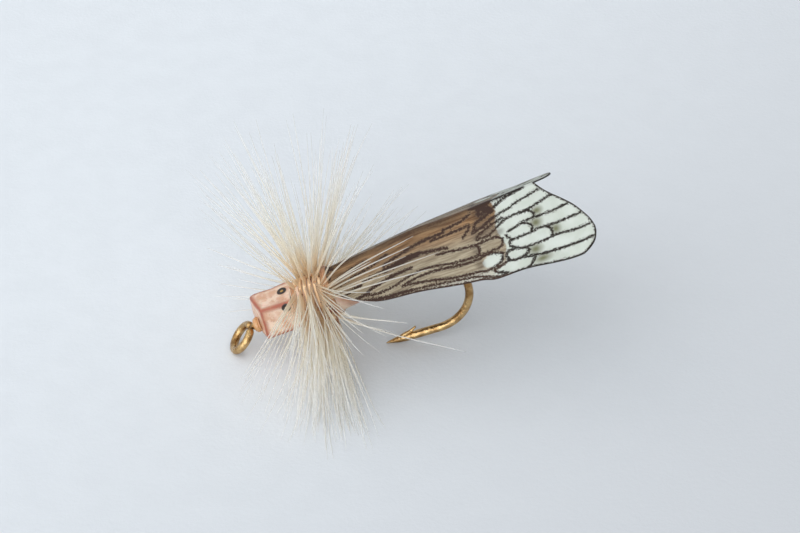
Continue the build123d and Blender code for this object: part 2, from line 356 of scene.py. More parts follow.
def paper_material():
    """White paper with a faint grain, and painted shade that darkens it towards the lower right of the
    picture, where the light falls off.
    """
    s = Shader("paper")
    place = s.object_mm()
    grain = s.noise(place, 3.5, 3.0, 0.6)
    blotch = s.noise(place, 0.5, 4.0)
    colour = s.mix(s.ramp(blotch, 0.3, 0.7), rgb(232, 236, 240), rgb(229, 233, 237))
    # painted shade: the paper's colour darkens towards the lower right, standing in for the light's
    # falloff
    across = s.fed("ShaderNodeVectorMath", {"operation": "DOT_PRODUCT"}, place, (0.85, -0.53, 0.0))
    colour = s.mix(s.ramp(across.outputs["Value"], -30.0, 40.0), colour, rgb(210, 212, 215))
    return s.done(s.surface(Base_Color=colour, Roughness=0.85, Normal=s.bump(grain, 0.5, 0.04)))


# ---------------------------------------------------------------- meshes

def piece(name, verts, faces, material, nodes, values=None):
    """A mesh piece in the row frame that stands for CAD nodes. values are its vertices' attributes."""
    mesh = bpy.data.meshes.new(name)
    mesh.from_pydata([tuple(v) for v in verts], [], [tuple(f) for f in faces])
    mesh.validate()
    mesh.shade_smooth()
    for key, array in (values or {}).items():
        array = np.asarray(array, np.float32)
        kind = "FLOAT_VECTOR" if array.ndim == 2 else "FLOAT"
        layer = mesh.attributes.new(key, kind, "POINT")
        layer.data.foreach_set("vector" if array.ndim == 2 else "value", array.ravel())
    mesh.materials.append(material)
    made = bpy.data.objects.new(name, mesh)
    bpy.context.scene.collection.objects.link(made)
    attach(made, "root")
    if nodes:
        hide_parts(*nodes)
    return made


def tube_mesh(path, radii, sides):
    """A capped tube along a path, as (verts, quads), with rings that don't twist."""
    path = np.asarray(path, float)
    radii = np.broadcast_to(radii, len(path))
    way = np.gradient(path, axis=0)
    way /= np.linalg.norm(way, axis=1)[:, None]
    start = np.cross(way[0], (0.31, 0.87, 0.4))
    side = start / np.linalg.norm(start)
    verts = []
    turn = np.linspace(0, 2 * math.pi, sides, endpoint=False)
    for p, w, r in zip(path, way, radii):
        side = side - w * (side @ w)
        side /= np.linalg.norm(side)
        other = np.cross(w, side)
        verts.append(p + r * (np.outer(np.cos(turn), side) + np.outer(np.sin(turn), other)))
    faces = []
    for i in range(len(path) - 1):
        for j in range(sides):
            k = (j + 1) % sides
            faces.append((i * sides + j, i * sides + k, (i + 1) * sides + k, (i + 1) * sides + j))
    last = (len(path) - 1) * sides
    faces.append(tuple(reversed(range(sides))))
    faces.append(tuple(range(last, last + sides)))
    return np.vstack(verts), faces


def gathered(parts):
    """Several (verts, faces) meshes as one."""
    verts, faces, base = [], [], 0
    for v, f in parts:
        verts.append(v)
        faces += [tuple(i + base for i in face) for face in f]
        base += len(v)
    return np.vstack(verts), faces


def helix(span, radius, pitch, height=0.0, steps=20):
    """Points of a wire wound round a line above the shank. radius may be a function of the angle."""
    start, end = span
    turns = (end - start) / pitch
    u = np.linspace(0, 1, int(turns * steps) + 2)
    a = 2 * math.pi * turns * u
    r = radius(a) if callable(radius) else radius
    return np.column_stack([start + (end - start) * u, r * np.sin(a), height + r * np.cos(a)])


# ---------------------------------------------------------------- hook

def rounded_ends(count, radius, length):
    """Radii of a wire whose two ends are rounded."""
    u = np.linspace(0, length, count)
    near = np.minimum(u, length - u)
    return radius * np.sqrt(np.clip(1 - np.clip(1 - near / radius, 0, 1) ** 2, 0.02, 1))


def make_hook(material):
    """Shank, round bend and spear in one wire, with the ring of the eye and the barb."""
    bend = np.radians(np.linspace(0, 180 + SPEAR_RISE, 60))
    arc = np.column_stack([SHANK + BEND_R * np.sin(bend), 0 * bend, BEND_R * (np.cos(bend) - 1)])
    rise = math.radians(SPEAR_RISE)
    way = np.array([-math.cos(rise), 0, math.sin(rise)])
    inward = np.array([math.sin(rise), 0, math.cos(rise)])
    u = np.linspace(0, 1, 46)[1:]
    spear = arc[-1] + np.outer(u * SPEAR, way)
    shank = np.column_stack([np.linspace(-0.05, SHANK, 40)[:-1], np.zeros(39), np.zeros(39)])
    path = np.vstack([shank, arc, spear])
    to_tip = np.clip((1 - u) * SPEAR / POINT_LENGTH, 0, 1)
    radii = np.full(len(path), PLATED_R)
    radii[-len(u):] = POINT_R + (PLATED_R - POINT_R) * np.sin(to_tip * math.pi / 2) ** 0.9
    radii[0] = 0.6 * WIRE_R
    wire = tube_mesh(placed(path), radii * MM, 28)

    turn = np.radians(np.linspace(*RING_ARC, 90))
    down = np.array([-math.cos(eye_turn), 0, -math.sin(eye_turn)])
    ring = down * (EYE_R + WIRE_R / 2) + RING_R * (
        np.outer(-np.cos(turn), down) + np.outer(np.sin(turn), (0, 1, 0)))
    ring_radii = rounded_ends(len(turn), RING_WIRE_R, 2 * math.pi * RING_R)
    eye = tube_mesh(placed(ring), ring_radii * MM, 28)

    tip = arc[-1] + way * SPEAR
    barb_path = smooth_curve([tip - way * back + inward * lift for back, lift in BARB_LINE], 14)
    barb = tube_mesh(placed(barb_path), np.linspace(*BARB_R, 14) * MM, 12)
    verts, faces = gathered([wire, eye, barb])
    return piece("hook_wire", verts, faces, material, ["hook"])


# ---------------------------------------------------------------- thread, body and varnish

NO_EYE = 9.0              # the eye attribute of a point far from any printed eye


def wound(name, path, radius, material, node, sides=6):
    verts, faces = tube_mesh(placed(path), radius * MM, sides)
    return piece(name, verts, faces, material, [node])


def whip_radius(a):
    return 0.36 + 0.03 * np.sin(a * 0.21)


def tie_radius(a):
    return 1.36 + 0.05 * np.sin(a * 0.37)


def lashing_radius(a):
    """Round the body, and out over the wing's root on top."""
    from_top = (a + math.pi) % (2 * math.pi) - math.pi
    return 1.38 + 0.34 * np.exp(-from_top ** 2 / 0.5) + 0.05 * np.sin(a * 0.31)


def make_threads(thread, varnish):
    wound("thread_winding", helix(THREAD_BASE, 0.275, 0.075, steps=14), THREAD_R, thread,
          "thread_base", 5)
    wound("whip_winding", helix(WHIP, whip_radius, 0.055), THREAD_R, thread,
          "whip_finish")
    wound("front_tie", helix(FRONT_TIE, tie_radius, 0.05, COLLAR_Z, 40), THREAD_R, thread,
          "hackle_tie_off")
    wound("wing_tie", helix(LASHING, lashing_radius, 0.05, COLLAR_Z, 40), THREAD_R, thread,
          "wing_lashing")
    u = np.linspace(0, 1, 18)
    start, end = VARNISH
    bead = np.column_stack([start + (end - start) * u, 0 * u, 0 * u])
    swell = 0.30 + 0.17 * np.sin(math.pi * u) ** 0.6
    verts, faces = tube_mesh(placed(bead), swell * MM, 28)
    return piece("varnish_drop", verts, faces, varnish, ["head_cement"])


# the wound yarn, as (distance along the shank, radius, height of its middle)
UNDERBODY = [(0.85, 0.36, 0.0), (1.25, 0.5, 0.1), (2.0, 0.72, 0.3), (3.2, 0.85, 0.32), (4.6, 0.95, 0.25),
             (6.0, 0.85, 0.18), (7.6, 0.6, 0.06), (9.7, 0.36, 0.0), (9.8, 0.3, 0.0)]
YARN_LUMPS = 0.12         # how far the yarn's surface wanders, as a share of its radius
FUZZ = 260


def make_underbody(material):
    """Dubbed yarn on the shank, with a loose fuzz of fibres."""
    sides = 40
    rows = smooth_curve(UNDERBODY, 150)
    path = np.column_stack([rows[:, 0], 0 * rows[:, 0], rows[:, 2]])
    verts, faces = tube_mesh(placed(path), rows[:, 1] * MM, sides)
    middle = np.repeat(placed(path), sides, axis=0)
    lumps = np.array([noise.fractal(Vector(v) * 2200, 0.8, 2.0, 4) for v in verts])
    verts = middle + (verts - middle) * (1 + YARN_LUMPS * lumps[:, None])
    pick = random.Random(11)
    fuzz = []
    for _ in range(FUZZ):
        x, radius, z = rows[pick.randrange(60, 145)]
        a = pick.uniform(0, 2 * math.pi)
        out = np.array([pick.uniform(-0.2, 0.9), math.sin(a), math.cos(a)])
        root = np.array([x, 0, z]) + radius * 0.95 * np.array([0, math.sin(a), math.cos(a)])
        reach = pick.uniform(0.25, 0.8)
        bow = np.array([pick.uniform(0, 0.5), 0, 0])
        line = smooth_curve([root, root + out * reach * 0.5, root + (out + bow) * reach], 5)
        fuzz.append(tube_mesh(placed(line), np.linspace(0.012, 0.004, 5) * MM, 3))
    verts, faces = gathered([(verts, faces), *fuzz])
    return piece("dubbed_body", verts, faces, material, ["underbody"])


def make_sleeve(material):
    """The film round the body, cut slanting to a point under the wing."""
    around, length = 96, 40
    a = np.linspace(0, 2 * math.pi, around, endpoint=False)
    verts, edge = [], []
    for shell in (SLEEVE_R, SLEEVE_R - SLEEVE_FILM):
        for i in range(length):
            u = i / (length - 1)
            end = SLEEVE_TO + SLEEVE_POINT * (0.5 - 0.5 * np.cos(a)) ** 1.4
            x = SLEEVE_FROM + (end - SLEEVE_FROM) * u
            flare = shell + 0.06 * u * np.sin(3 * a) - 0.16 * u * u
            verts.append(np.column_stack([x, flare * np.sin(a), COLLAR_Z + flare * np.cos(a)]))
            edge.append(np.full(around, (1 - u) * 1.2))
    faces = []
    second = length * around
    for base in (0, second):
        for i in range(length - 1):
            for j in range(around):
                k = (j + 1) % around
                quad = (base + i * around + j, base + i * around + k,
                        base + (i + 1) * around + k, base + (i + 1) * around + j)
                faces.append(quad if base else tuple(reversed(quad)))
    for i, flip in ((0, False), (length - 1, True)):
        for j in range(around):
            k = (j + 1) % around
            quad = (i * around + j, i * around + k, second + i * around + k, second + i * around + j)
            faces.append(tuple(reversed(quad)) if flip else quad)
    values = {"edge": np.concatenate(edge), "eye": np.full(2 * second, NO_EYE)}
    return piece("body_film", placed(np.vstack(verts)), faces, material,
                 ["body_sleeve"], values)


# ---------------------------------------------------------------- head

# edges of the folded head that run across it, as (distance along the shank, half width, height)
FRONT_LOW, FRONT_HIGH = np.array([0.42, 0.98, -0.66]), np.array([0.86, 0.98, 1.52])
REAR_LOW, REAR_HIGH = np.array([3.1, 1.05, -0.64]), np.array([3.1, 1.05, 1.42])
HEAD_SKEW = 0.36          # the front panel is turned towards the near side by this much
HEAD_CUTS = 26
FOLD_INSET = 0.08         # share of each side that its rounded fold takes
EYES = [((2.72, -1.0, 1.12), 0.32), ((2.62, 0.25, 1.42), 0.34), ((2.72, 1.0, 1.0), 0.34)]


def head_grid():
    """Points of a unit cube's faces and their quads. The rear face, under the hackle, is open."""
    grid = np.linspace(0, 1, HEAD_CUTS)
    points, faces, numbers = [], [], {}

    def index(point):
        key = tuple(np.round(point, 5))
        if key not in numbers:
            numbers[key] = len(points)
            points.append(point)
        return numbers[key]

    for axis, side in ((0, 0.0), (1, 0.0), (1, 1.0), (2, 0.0), (2, 1.0)):
        first, second = [i for i in range(3) if i != axis]
        for i in range(HEAD_CUTS - 1):
            for j in range(HEAD_CUTS - 1):
                quad = []
                for di, dj in ((0, 0), (1, 0), (1, 1), (0, 1)):
                    point = np.zeros(3)
                    point[axis] = side
                    point[first] = grid[i + di]
                    point[second] = grid[j + dj]
                    quad.append(index(point))
                flip = (side == 0.0) ^ (axis == 1)
                faces.append(tuple(reversed(quad)) if flip else tuple(quad))
    return np.array(points), faces


def make_head(material):
    """A box folded from film: rounded folds, panels that sink a little, and printed eyes."""
    unit, faces = head_grid()
    inner = np.clip(unit, FOLD_INSET, 1 - FOLD_INSET)
    inner[:, 0] = np.clip(unit[:, 0], FOLD_INSET, 1)
    out = unit - inner
    length = np.maximum(np.linalg.norm(out, axis=1)[:, None], 1e-9)
    rounded = inner + out / length * np.minimum(length, FOLD_INSET)

    # distance to the nearest fold: of the distances to the cube's faces, the second smallest
    gaps = np.minimum(unit, np.where([True, False, False], 9, 1) - unit) * (2.3, 2.0, 2.0)
    to_fold = np.sort(gaps, axis=1)[:, 1]

    along, across, up = rounded[:, 0], rounded[:, 1] * 2 - 1, rounded[:, 2, None]
    low = np.outer(1 - along, FRONT_LOW) + np.outer(along, REAR_LOW)
    high = np.outer(1 - along, FRONT_HIGH) + np.outer(along, REAR_HIGH)
    points = low * (1 - up) + high * up
    points[:, 1] *= across
    points[:, 0] -= HEAD_SKEW * across * (1 - along)
    dent = np.array([noise.fractal(Vector(p) * 1.1, 0.9, 2.0, 3) for p in points])
    sink = np.sin(math.pi * unit).prod(axis=1)
    from_middle = points - points.mean(axis=0)
    points = points + from_middle * (0.035 * dent - 0.05 * sink)[:, None]

    eye = np.full(len(points), NO_EYE)
    for place, size in EYES:
        eye = np.minimum(eye, np.linalg.norm(points - place, axis=1) * 0.3 / size)
    return piece("head_film", placed(points), faces, material, ["head"],
                 {"edge": to_fold, "eye": eye})


# ---------------------------------------------------------------- wing

# margins of one half, as (distance along the shank, distance from the ridge within the film)
LOWER_MARGIN = [(5.2, 0.85), (6.2, 2.1), (7.1, 2.75), (8.5, 3.35), (10.3, 3.8), (12.0, 4.15), (14.2, 4.5),
                (15.2, 4.85), (17.0, 5.05), (18.7, 5.35), (20.2, 5.47), (20.7, 5.35), (21.22, 5.0),
                (21.47, 4.5), (21.52, 4.1)]
REAR_MARGIN = [(18.9, 0.0), (19.3, 0.6), (19.65, 1.02), (20.1, 1.5), (20.72, 2.26), (21.18, 3.08),
               (21.4, 3.6), (21.52, 4.1)]
FAR_LOWER = [(5.2, 0.85), (6.2, 2.1), (8.5, 3.35), (12.0, 4.15), (15.2, 4.75), (17.6, 4.9), (18.8, 4.5),
             (19.4, 3.8), (19.6, 3.0)]
FAR_REAR = [(18.9, 0.0), (19.3, 0.9), (19.52, 1.8), (19.58, 2.4), (19.6, 3.0)]

# printed strokes: (width, points), in the same coordinates
STROKES = [
    # rear veins
    (0.10, [(15.7, 0.0), (16.6, 0.02), (17.6, 0.0), (18.2, 0.0)]),
    (0.12, [(15.9, 0.46), (16.2, 0.46), (16.7, 0.26), (17.2, 0.14), (17.65, 0.07), (18.2, 0.0)]),
    (0.09, [(16.0, 1.05), (16.5, 0.96), (17.05, 0.88), (17.5, 0.74), (18.6, 0.55), (19.2, 0.46)]),
    (0.10, [(16.6, 1.46), (17.05, 1.4), (18.0, 1.4), (18.95, 1.23), (19.6, 1.1)]),
    (0.10, [(17.5, 1.42), (18.0, 1.48), (18.25, 1.64), (18.33, 1.82), (18.25, 2.0)]),
    (0.10, [(16.58, 2.29), (17.16, 2.14), (17.9, 2.02), (18.9, 2.07), (19.5, 2.09), (20.45, 2.02)]),
    (0.10, [(17.46, 2.06), (17.75, 2.2), (17.96, 2.38), (18.02, 2.6), (17.87, 2.88)]),
    (0.10, [(16.43, 2.44), (16.55, 2.67), (16.75, 2.84), (17.05, 2.92)]),
    (0.10, [(16.52, 2.94), (16.87, 2.87), (17.87, 2.89), (18.4, 2.82), (19.3, 2.89), (20.95, 2.92)]),
    (0.10, [(16.49, 3.05), (16.55, 3.26), (16.87, 3.52), (17.28, 3.67), (18.4, 3.69), (19.3, 3.64),
            (20.4, 3.77), (21.25, 3.82)]),
    (0.11, [(18.75, 2.86), (18.96, 2.99), (19.06, 3.26), (18.96, 3.64)]),
    (0.12, [(16.93, 3.5), (16.34, 3.46), (16.16, 3.61), (16.14, 3.85), (16.28, 4.07), (16.58, 4.2),
            (16.93, 4.2), (17.22, 4.14), (17.46, 3.96), (17.43, 3.76), (17.28, 3.67)]),
    (0.12, [(16.9, 4.2), (17.3, 4.32), (17.75, 4.4), (18.2, 4.52), (19.3, 4.58), (20.4, 4.63),
            (21.25, 4.66)]),
    (0.11, [(17.75, 4.4), (17.64, 4.61), (17.4, 4.88), (17.2, 5.02)]),
    (0.12, [(16.28, 4.07), (15.64, 4.17), (15.2, 4.27), (15.34, 4.46), (15.58, 4.61), (15.93, 4.84)]),
    # dark patch in front of the pale cells
    (0.34, [(14.9, -0.05), (15.4, 0.04), (15.95, 0.03)]),
    (0.36, [(15.4, 0.08), (15.75, 0.36), (16.0, 0.6)]),
    (0.16, [(15.46, 0.14), (15.22, 0.46), (15.34, 0.58), (15.75, 0.46)]),
    (0.14, [(15.99, 0.61), (15.64, 0.76), (15.16, 0.9), (14.87, 1.02), (14.72, 1.44), (14.58, 1.46)]),
    (0.14, [(16.2, 1.02), (15.75, 1.14), (15.34, 1.32), (14.99, 1.4), (14.72, 1.44)]),
    (0.11, [(16.5, 1.29), (15.93, 1.4), (15.46, 1.55), (15.05, 1.67), (14.69, 1.9), (14.93, 2.0),
            (15.4, 2.0), (15.7, 1.9), (16.0, 1.73), (16.58, 1.47)]),
    (0.13, [(14.58, 2.32), (14.72, 2.55), (14.66, 2.73), (14.5, 2.94)]),
    (0.11, [(12.25, 2.0), (13.0, 2.07), (13.9, 2.19), (14.75, 2.26), (15.75, 2.26), (16.05, 2.44),
            (16.16, 2.61), (16.0, 2.96), (15.3, 3.02), (14.2, 2.95), (13.0, 2.84), (11.9, 2.66),
            (11.0, 2.6), (10.0, 2.7), (9.4, 2.8), (8.5, 2.8), (8.0, 2.7), (7.6, 2.6)]),
    (0.12, [(9.8, 3.08), (10.3, 2.98), (11.9, 2.94), (13.0, 3.08), (14.3, 3.2), (14.9, 3.12),
            (15.4, 3.17), (15.93, 3.44), (15.87, 3.67), (15.75, 3.9), (15.4, 4.05), (14.8, 4.1),
            (14.2, 3.95), (13.0, 3.8), (12.0, 3.6), (11.0, 3.36), (10.3, 3.17), (9.8, 3.08)]),
    (0.11, [(13.4, 0.96), (14.0, 0.96), (14.5, 0.88), (14.42, 1.14), (14.16, 1.38), (13.96, 1.55)]),
    (0.12, [(13.0, 0.66), (13.9, 0.56), (14.35, 0.44), (14.75, 0.28)]),
    # long streaks of the front part
    (0.13, [(9.0, 1.29), (9.5, 1.2), (10.3, 1.08), (11.25, 0.92), (12.1, 0.84), (13.0, 0.79)]),
    (0.11, [(12.1, 1.06), (13.0, 1.01), (13.75, 0.96)]),
    (0.30, [(9.0, 1.6), (9.6, 1.6), (10.3, 1.55), (11.2, 1.53)]),
    (0.14, [(7.6, 1.58), (8.5, 1.6), (9.6, 1.6), (11.2, 1.53), (11.7, 1.62), (12.9, 1.78)]),
    (0.15, [(6.4, 2.0), (6.8, 1.89), (7.4, 1.8)]),
    (0.16, [(7.0, 2.5), (7.5, 2.48), (8.1, 2.27), (8.75, 2.22), (9.4, 2.15), (10.6, 2.2)]),
    (0.12, [(6.0, 0.9), (6.6, 0.76), (7.2, 0.62), (8.2, 0.5)]),
    (0.10, [(6.2, 1.3), (7.0, 1.15), (8.2, 0.98), (9.4, 0.72)]),
    (0.20, [(5.6, 0.15), (6.0, 0.12)]),
    (0.16, [(5.5, 0.5), (5.7, 0.62)]),
    (0.17, [(7.8, 2.98), (8.5, 3.2), (9.4, 3.4), (10.3, 3.58)]),
    (0.11, [(5.9, 2.1), (6.6, 2.45), (7.1, 2.7), (7.8, 2.98)]),
    (0.10, [(10.3, 3.58), (11.0, 3.72), (11.9, 3.86), (13.0, 4.0), (13.8, 4.12), (14.5, 4.36),
            (15.15, 4.72), (15.9, 4.86)]),
]
MARGIN_WIDTH = 0.16
INK_SPREAD = 0.012
# soft dark stains: (middle, half sizes, strength)
STAINS = [((11.6, 0.05), (4.4, 0.42), 0.85), ((7.2, 0.0), (1.6, 0.3), 0.9),
          ((9.5, 0.75), (3.0, 0.22), 0.45), ((15.4, 0.4), (0.75, 0.6), 0.8),
          ((15.4, 1.1), (0.8, 0.4), 0.5), ((15.3, 1.75), (0.8, 0.2), 0.45),
          ((14.5, 3.55), (0.3, 0.4), 0.5), ((14.5, 2.6), (0.25, 0.35), 0.5),
          ((7.0, 0.75), (1.4, 0.3), 0.55), ((10.5, 1.6), (1.4, 0.22), 0.75),
          ((10.0, 1.1), (1.6, 0.15), 0.4), ((16.1, 2.05), (0.3, 0.2), 0.5),
          ((13.8, 3.06), (1.2, 0.14), 0.35), ((9.0, 3.35), (1.5, 0.14), 0.4),
          ((9.3, 2.2), (1.6, 0.12), 0.35), ((6.0, 1.6), (0.8, 1.4), 0.35)]
# greenish brown where the cells' rear ends meet the veins: (middle, half sizes)
MOSS = [((18.55, 1.7), (0.4, 0.3)), ((18.3, 2.4), (0.45, 0.42)), ((19.3, 3.25), (0.35, 0.4)),
        ((17.85, 4.05), (0.5, 0.4)), ((18.1, 4.8), (0.6, 0.3)), ((20.6, 1.6), (0.5, 0.4))]
# the film is pale behind this distance, and in two cells further forward
PALE_FROM = 16.12
PALE_CELLS = [((15.3, 3.62), (0.64, 0.42)), ((16.4, 4.55), (1.15, 0.34))]


def line_distance(s, t, line):
    """Distance from every (s, t) to the nearest point of a line through the points given."""
    best = np.full(s.shape, 9.0)
    for (ax, ay), (bx, by) in zip(line[:-1], line[1:]):
        dx, dy = bx - ax, by - ay
        share = np.clip(((s - ax) * dx + (t - ay) * dy) / max(dx * dx + dy * dy, 1e-12), 0, 1)
        best = np.minimum(best, np.hypot(s - ax - share * dx, t - ay - share * dy))
    return best


def oval(s, t, middle, half):
    """Distance from an oval's middle, which is 1 on its outline."""
    return np.hypot((s - middle[0]) / half[0], (t - middle[1]) / half[1])


def wing_print(s, t, margin):
    """The printed pattern's attributes at every point of one half."""
    ink = margin - MARGIN_WIDTH / 2
    for width, points in STROKES:
        line = smooth_curve(points, 10 * len(points))
        ink = np.minimum(ink, line_distance(s, t, line) - width / 2 - INK_SPREAD)
    shade = np.zeros(s.shape)
    for middle, half, strength in STAINS:
        shade = np.maximum(shade, strength * np.clip(1.35 - oval(s, t, middle, half), 0, 1))
    moss = np.zeros(s.shape)
    for middle, half in MOSS:
        moss = np.maximum(moss, np.clip(1.2 - oval(s, t, middle, half), 0, 1))
    pale = s - PALE_FROM - 0.12 * np.sin(2.6 * t)
    for middle, half in PALE_CELLS:
        pale = np.maximum(pale, (1 - oval(s, t, middle, half)) * half[1])
    return ink, np.clip(shade, 0, 1), pale, moss


def ridge_z(s):
    rise = math.tan(math.radians(RIDGE_RISE)) * (s - RIDGE_FROM)
    middle, width, height = RIDGE_HUMP
    return RIDGE_HEIGHT + rise + height * np.exp(-((s - middle) / width) ** 2)


def half_wing(roof, side, lower, rear, columns, rows):
    """One half as (points, s, t, distance to the margin), with rows from the ridge outwards."""
    low = smooth_curve(lower, 240)
    back = smooth_curve(rear, 120)
    # columns lie closer together towards the rear, where the margin curves
    length = lower[-1][0] - 0.004 - RIDGE_FROM
    s = RIDGE_FROM + length * np.sin(np.linspace(0, 1, columns) * 1.5) / math.sin(1.5)
    bottom = np.interp(s, low[:, 0], low[:, 1])
    top = np.where(s > NOTCH_AT, np.interp(s, back[:, 0], back[:, 1]), 0.0)
    t = top[:, None] + (bottom - top)[:, None] * np.linspace(0, 1, rows)[None, :]
    s = np.repeat(s[:, None], rows, axis=1)
    margin = line_distance(s, t, np.vstack([low, back[::-1]])[::2])

    # round the fold first, then straight down the slope
    slope = math.radians(roof)
    bent = FOLD_R * slope
    over = np.maximum(t - bent, 0)
    inside = np.minimum(t, bent) / FOLD_R
    out = FOLD_R * np.sin(inside) + over * math.cos(slope)
    drop = FOLD_R * (1 - np.cos(inside)) + over * math.sin(slope)
    wave = 0.05 * np.sin(0.9 * s + 1.3 * side) * (t / 4) ** 2 + 0.012 * over**2
    lift = 0.10 * np.clip((s - 19.5) / 2, 0, 1) ** 2
    return np.stack([s, side * out, ridge_z(s) - drop + wave + lift], axis=-1), s, t, margin


def make_wing(material):
    """Both halves of the film, joined along the ridge, with its print as vertex attributes."""
    columns, rows = 250, 76
    near = half_wing(ROOF_NEAR, -1, LOWER_MARGIN, REAR_MARGIN, columns, rows)
    far = half_wing(ROOF_FAR, 1, FAR_LOWER, FAR_REAR, columns, rows)
    faces = []
    for number, (_, s, t, _) in enumerate((near, far)):
        base = number * columns * rows
        for i in range(columns - 1):
            for j in range(rows - 1):
                a, b = base + i * rows + j, base + (i + 1) * rows + j
                quad = (a, b, b + 1, a + 1)
                faces.append(quad if number == 0 else tuple(reversed(quad)))
    verts = np.vstack([near[0].reshape(-1, 3), far[0].reshape(-1, 3)])
    s, t, margin = (np.concatenate([a.ravel(), b.ravel()]) for a, b in zip(near[1:], far[1:]))
    ink, shade, pale, moss = wing_print(s, t, margin)
    # the film's own coordinates, with the far half moved aside so that its noise differs
    flat = np.column_stack([s, t + np.repeat([0, 20], columns * rows), 0 * s])
    values = {"ink": ink, "shade": shade, "pale": pale, "moss": moss, "rise": t / 5, "flat": flat}
    wing = piece("wing_film", placed(verts), faces, material, ["wing"], values)
    weld = wing.modifiers.new("weld", "WELD")
    weld.merge_threshold = 0.002 * MM
    thick = wing.modifiers.new("film", "SOLIDIFY")
    thick.thickness = WING_FILM * MM
    thick.offset = 0.0
    return wing


# ---------------------------------------------------------------- hackle

# Angles round the collar are from straight up, in degrees. A barb's lean is its tilt to the rear.
BARBS = 84                # in each turn
BARB_ROOT_R = 1.47        # distance of the barbs' roots from the collar's middle
UPPER_REACH = 10.2
SIDE_REACH = 10.0
UPPER_TO = 75
BARB_THICK = 0.04
BARB_TIP = 0.007
CLUMP = 4                 # barbs that cling together, and how far they do
GATHER = 0.55
FRONT_LEAN = -17          # of the first turn
BACK_LEAN = 29            # of the last turn
LOWER_LEAN = -5           # of the near side's barbs, which also keep this share of their turn's lean
LOWER_SHARE = 0.2
PARTING = 14              # past it the near side's barbs are combed down, to this angle and below
COMBED_FROM = 74
GROUND_FROM = 96          # past it the ground presses barbs out to the sides, within this spread
GROUND_SPREAD = 17
GROUND_GAP = 0.035


def round_collar(x, radius, angle, side=-1):
    """A point of the collar, at an angle from straight up on the near (-1) or the far side."""
    return np.array([x, side * radius * math.sin(angle), COLLAR_Z + radius * math.cos(angle)])


def strand(root, way, reach, droop, steps):
    """A barb's middle line in the row frame, bowed towards droop and never under the ground."""
    u = np.linspace(0, 1, steps)[:, None]
    line = placed(root + way * reach * u + droop * reach * u**2)
    line[:, 2] = np.maximum(line[:, 2], GROUND_GAP * MM)
    return line


def pressed(fall):
    """The angle of a barb after the ground has spread the lower ones to the sides."""
    limit = math.radians(GROUND_FROM)
    if fall <= limit:
        return fall
    return limit + (fall - limit) * math.radians(GROUND_SPREAD) / (math.pi - limit)


def combed(fall, side):
    """The angle of a barb. On the near side most are combed down over the collar."""
    parting = math.radians(PARTING)
    if side > 0 or fall < parting:
        return pressed(fall)
    share = min(1.0, (fall - parting) / (math.pi / 2 - parting))
    return max(pressed(fall), math.radians(COMBED_FROM + (GROUND_FROM - COMBED_FROM) * share))


def outside(point):
    """True past the sides, front or top of the box that the CAD fills."""
    low, high = cad_box
    return abs(point[1]) > high[1] or point[0] < low[0] or point[2] > high[2]


def barb_piece(name, parts, along, shade, nodes, material):
    verts, faces = gathered(parts)
    return piece(name, verts, faces, material, nodes,
                 {"along": np.concatenate(along), "shade": np.concatenate(shade)})


def make_barbs(turn, material):
    """The barbs of one turn of the quill. They cling in clumps that share a lean, reach and bow."""
    steps, sides = 11, 4
    u = np.linspace(0, 1, steps)
    pick = random.Random(100 + turn)
    base_lean = FRONT_LEAN + (BACK_LEAN - FRONT_LEAN) * turn / (TURNS - 1)
    limit = math.radians(GROUND_FROM)
    parts, along, shade = [], [], []
    for number in range(BARBS):
        if number % CLUMP == 0:
            clump_lean, clump_reach = pick.gauss(0, 8), pick.uniform(0.8, 1.0)
            clump_bow, clump_shade = pick.uniform(-0.12, 0.12), pick.random()
            clump_angle = 2 * math.pi * (number + CLUMP / 2) / BARBS
        root_angle = 2 * math.pi * (number + 0.5) / BARBS
        aim = root_angle + GATHER * (clump_angle - root_angle)
        x = COIL_FROM + TURN_PITCH * (turn + root_angle / (2 * math.pi))
        fall = min(root_angle, 2 * math.pi - root_angle)
        side = -1 if root_angle < math.pi else 1
        angle = combed(min(aim, 2 * math.pi - aim), side) + math.radians(pick.gauss(0, 2))
        lean = base_lean + clump_lean + pick.gauss(0, 2.2)
        if side < 0:
            inner = min(1.0, fall / math.radians(80))
            lean += inner * (LOWER_SHARE * base_lean + LOWER_LEAN - base_lean - 0.4 * clump_lean)
        else:
            lean *= 1 - 0.35 * max(0.0, (fall - limit) / (math.pi - limit))
        lean = math.radians(lean)
        root = round_collar(x, BARB_ROOT_R, fall, side)
        way = np.array([math.sin(lean), side * math.sin(angle) * math.cos(lean),
                        math.cos(angle) * math.cos(lean)])
        full = UPPER_REACH if fall < math.radians(UPPER_TO) else SIDE_REACH
        reach = full * clump_reach * pick.uniform(0.82, 1.0)
        droop = np.array([pick.gauss(0, 0.05) + 0.05 * math.sin(lean),
                          clump_bow + pick.gauss(0, 0.03), pick.gauss(0, 0.04)])
        line = strand(root, way, reach, droop, steps)
        while outside(line[-1]):
            reach *= 0.96
            line = strand(root, way, reach, droop, steps)
        radii = pick.uniform(0.8, 1.15) * (BARB_THICK * (1 - u) ** 0.6 + BARB_TIP)
        parts.append(tube_mesh(line, radii * MM, sides))
        along.append(np.repeat(u, sides))
        shade.append(np.full(steps * sides, clump_shade))
    return barb_piece(f"hackle_turn_{turn + 1}", parts, along, shade, [f"hackle_barbs_{turn + 1}"],
                      material)


